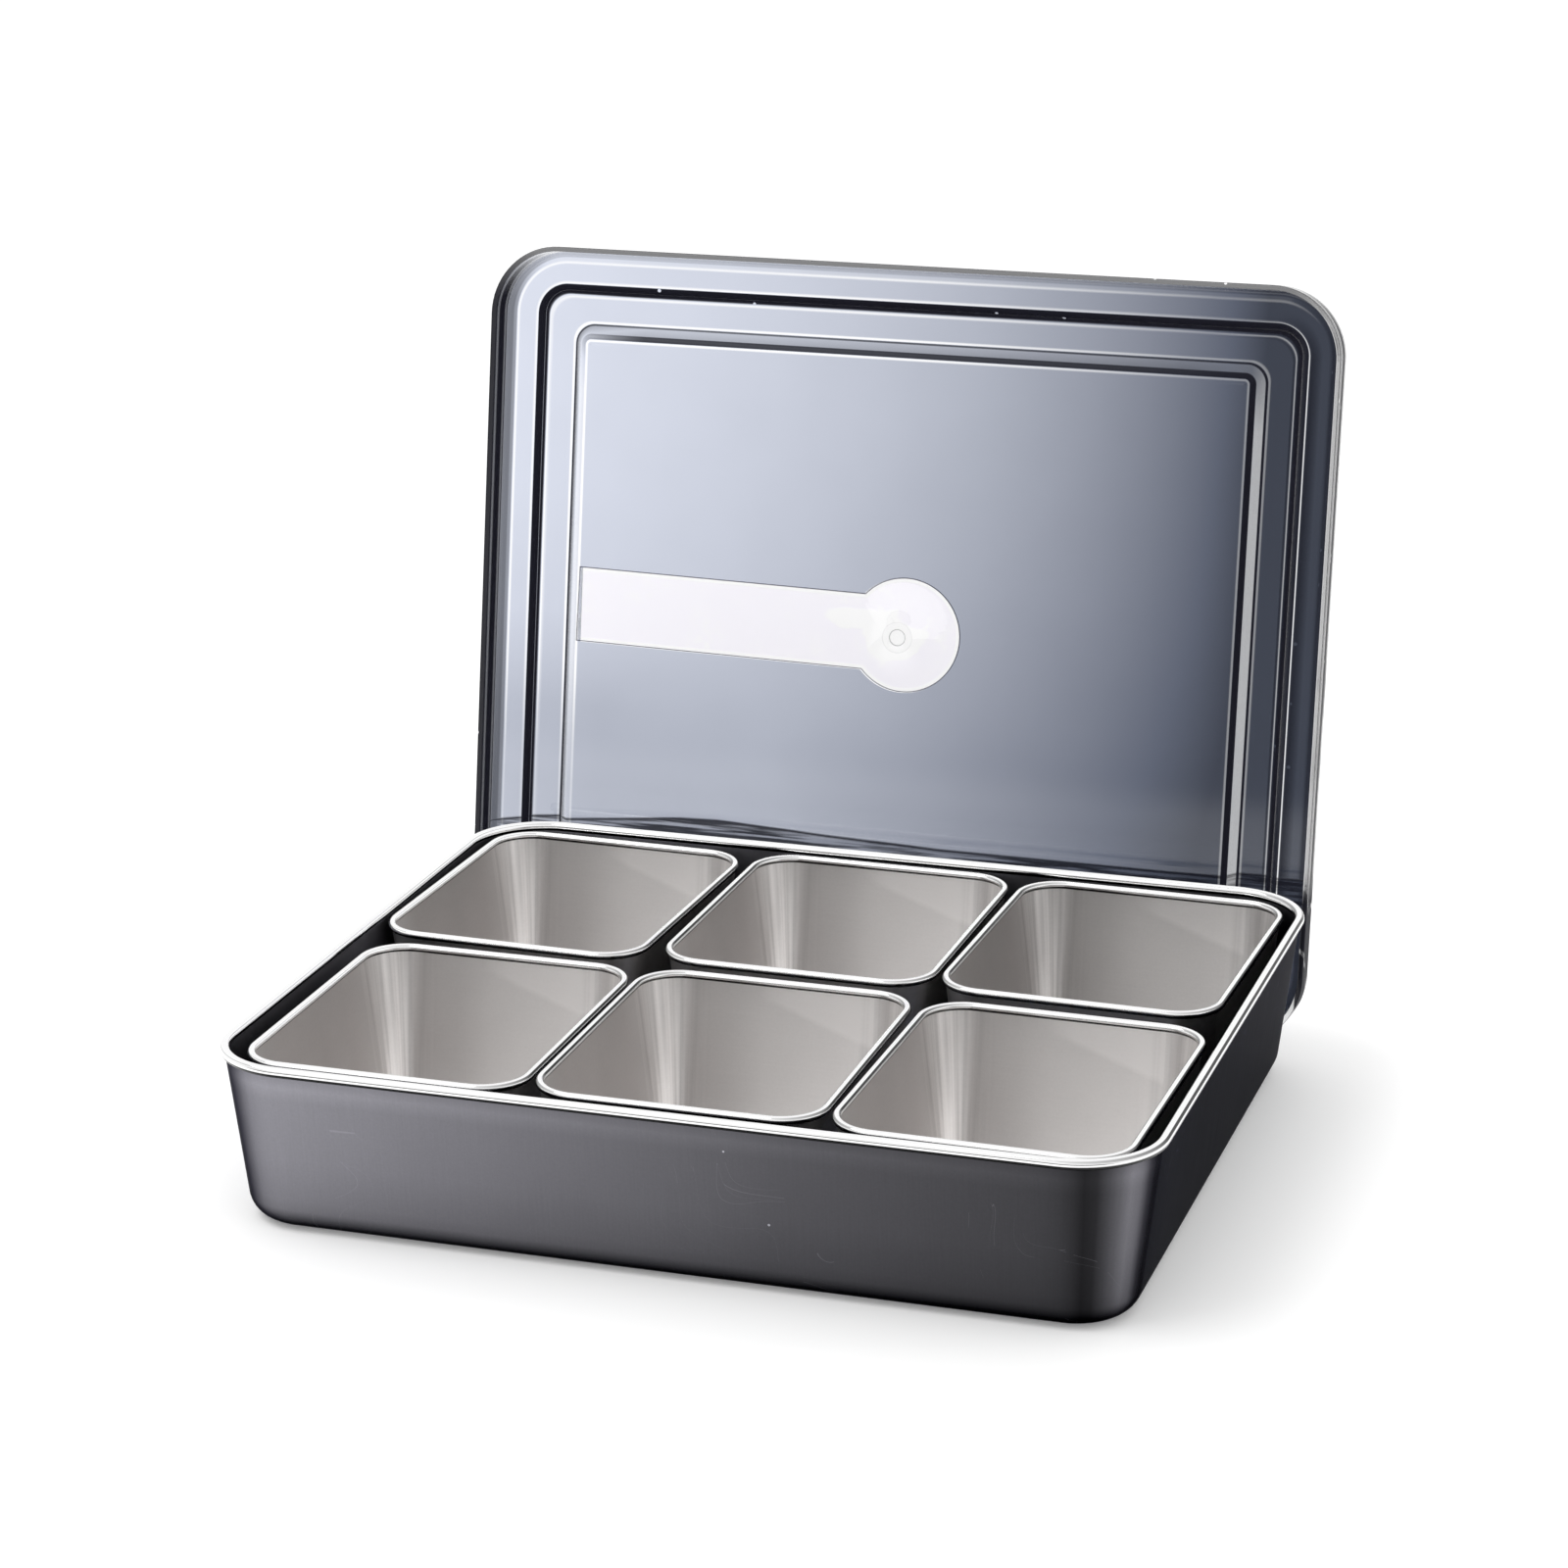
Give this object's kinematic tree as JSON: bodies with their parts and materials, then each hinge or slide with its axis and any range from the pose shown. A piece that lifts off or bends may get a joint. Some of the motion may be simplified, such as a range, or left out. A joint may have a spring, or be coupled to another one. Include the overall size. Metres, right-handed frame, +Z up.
{
  "type": "condiment caddy",
  "caption": "Shallow rectangular steel tray with loose open steel cells in two rows, and a clear stepped cover standing on edge behind it.",
  "frame": {"origin": "middle of the tray's flat underside, on the table", "axes": "+Z up, +X to the right along the tray's long side, +Y to the rear, towards the standing cover"},
  "size_m": [0.2777, 0.2733, 0.2323],
  "materials": {
    "tray_steel": "dark satin, with a polished rolled rim",
    "cell_steel": "satin inside, with a polished rolled rim",
    "lid_plastic": "clear, faintly smoke-tinted, glossy",
    "label_film": "thin white adhesive film"
  },
  "bodies": {
    "outer_tray": {"outer_tray": "tray_steel"},
    "cell_front_left": {"cell_front_left": "cell_steel"},
    "cell_front_middle": {"cell_front_middle": "cell_steel"},
    "cell_front_right": {"cell_front_right": "cell_steel"},
    "cell_rear_left": {"cell_rear_left": "cell_steel"},
    "cell_rear_middle": {"cell_rear_middle": "cell_steel"},
    "cell_rear_right": {"cell_rear_right": "cell_steel"},
    "lid": {"lid": "lid_plastic", "lid_label": "label_film"}
  },
  "joints": [
    {"name": "lift_front_left", "type": "slide", "parent": "outer_tray", "child": "cell_front_left", "axis": [0, 0, 1], "range_m": [0, 0.07]},
    {"name": "lift_front_middle", "type": "slide", "parent": "outer_tray", "child": "cell_front_middle", "axis": [0, 0, 1], "range_m": [0, 0.07]},
    {"name": "lift_front_right", "type": "slide", "parent": "outer_tray", "child": "cell_front_right", "axis": [0, 0, 1], "range_m": [0, 0.07]},
    {"name": "lift_rear_left", "type": "slide", "parent": "outer_tray", "child": "cell_rear_left", "axis": [0, 0, 1], "range_m": [0, 0.07]},
    {"name": "lift_rear_middle", "type": "slide", "parent": "outer_tray", "child": "cell_rear_middle", "axis": [0, 0, 1], "range_m": [0, 0.07]},
    {"name": "lift_rear_right", "type": "slide", "parent": "outer_tray", "child": "cell_rear_right", "axis": [0, 0, 1], "range_m": [0, 0.07]},
    {"name": "lift_lid", "type": "slide", "parent": "outer_tray", "child": "lid", "axis": [0, 0.1564, 0.9877], "range_m": [0, 0.13]}
  ]
}
